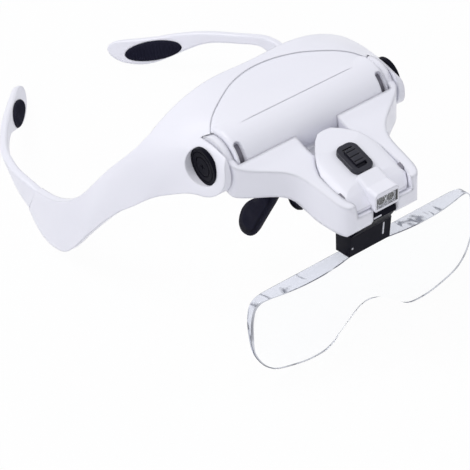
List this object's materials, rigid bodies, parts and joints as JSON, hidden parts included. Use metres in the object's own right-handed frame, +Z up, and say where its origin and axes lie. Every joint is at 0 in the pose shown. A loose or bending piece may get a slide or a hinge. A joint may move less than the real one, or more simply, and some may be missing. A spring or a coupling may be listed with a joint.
{
  "type": "binocular headband magnifier",
  "caption": "Head-worn white magnifier frame with a tilting light head and a wide clear binocular lens on a flip clip.",
  "frame": {"origin": "centre of the bounding box's base, on the surface the object stands on", "axes": "+Z up, -Y towards the front with the lens, +X towards the wearer's left"},
  "size_m": [0.1432, 0.2266, 0.0902],
  "materials": {
    "white_plastic": "white moulded plastic with a soft gloss",
    "black_plastic": "black moulded plastic, fine matt grain",
    "black_rubber": "soft black rubber",
    "clear_lens": "clear polished acrylic",
    "pin_steel": "turned steel",
    "screw_steel": "plated steel",
    "cell_steel": "plated steel cell cans",
    "contact_brass": "spring brass",
    "board_green": "green laminate",
    "washer_nylon": "natural nylon",
    "lamp_epoxy": "clear epoxy lamps",
    "reflector_chrome": "bright metallised plastic"
  },
  "bodies": {
    "frame": {"main_frame": "white_plastic", "drum_rear_cover": "white_plastic", "cover_screws": "screw_steel", "left_pivot_cap": "black_plastic", "right_pivot_cap": "black_plastic", "left_pivot_pin": "pin_steel", "right_pivot_pin": "pin_steel", "friction_washers": "washer_nylon", "nose_pad_bracket": "white_plastic", "left_nose_pad": "black_rubber", "right_nose_pad": "black_rubber"},
    "tilt_yoke": {"yoke": "white_plastic"},
    "light_head": {"light_head_cover": "white_plastic", "light_head_base": "white_plastic", "coin_cells": "cell_steel", "battery_contacts": "contact_brass", "circuit_board": "board_green", "led_lamps": "lamp_epoxy", "led_reflectors": "reflector_chrome", "led_window": "clear_lens", "switch_bezel": "black_plastic", "switch_body": "screw_steel"},
    "switch": {"switch_slider": "black_plastic"},
    "cell_door": {"battery_door": "white_plastic"},
    "clip": {"lens_clip": "black_plastic", "clip_hinge_pin": "pin_steel"},
    "lens": {"binocular_lens": "clear_lens"},
    "left_tip": {"left_temple_tip": "white_plastic", "left_temple_pad": "black_rubber"},
    "right_tip": {"right_temple_tip": "white_plastic", "right_temple_pad": "black_rubber"}
  },
  "joints": [
    {"name": "yoke_tilt", "type": "hinge", "parent": "frame", "child": "tilt_yoke", "pos_m": [0, -0.0595, 0.0774], "axis": [-1, 0, 0], "range_deg": [0, 70]},
    {"name": "light_head_lift", "type": "slide", "parent": "tilt_yoke", "child": "light_head", "axis": [0, 0, 1], "range_m": [0, 0.025]},
    {"name": "switch_slide", "type": "slide", "parent": "light_head", "child": "switch", "axis": [0, 0.9705, 0.2411], "range_m": [-0.0012, 0.0012]},
    {"name": "battery_door_drop", "type": "slide", "parent": "light_head", "child": "cell_door", "axis": [0, 0, -1], "range_m": [0, 0.005]},
    {"name": "clip_flip", "type": "hinge", "parent": "tilt_yoke", "child": "clip", "pos_m": [0, -0.1083, 0.0646], "axis": [-1, 0, 0], "range_deg": [0, 80]},
    {"name": "lens_release", "type": "slide", "parent": "clip", "child": "lens", "axis": [0, -0.1513, -0.9885], "range_m": [0, 0.014]},
    {"name": "left_tip_release", "type": "slide", "parent": "frame", "child": "left_tip", "axis": [0, 1, 0], "range_m": [0, 0.015]},
    {"name": "right_tip_release", "type": "slide", "parent": "frame", "child": "right_tip", "axis": [0, 1, 0], "range_m": [0, 0.015]}
  ]
}
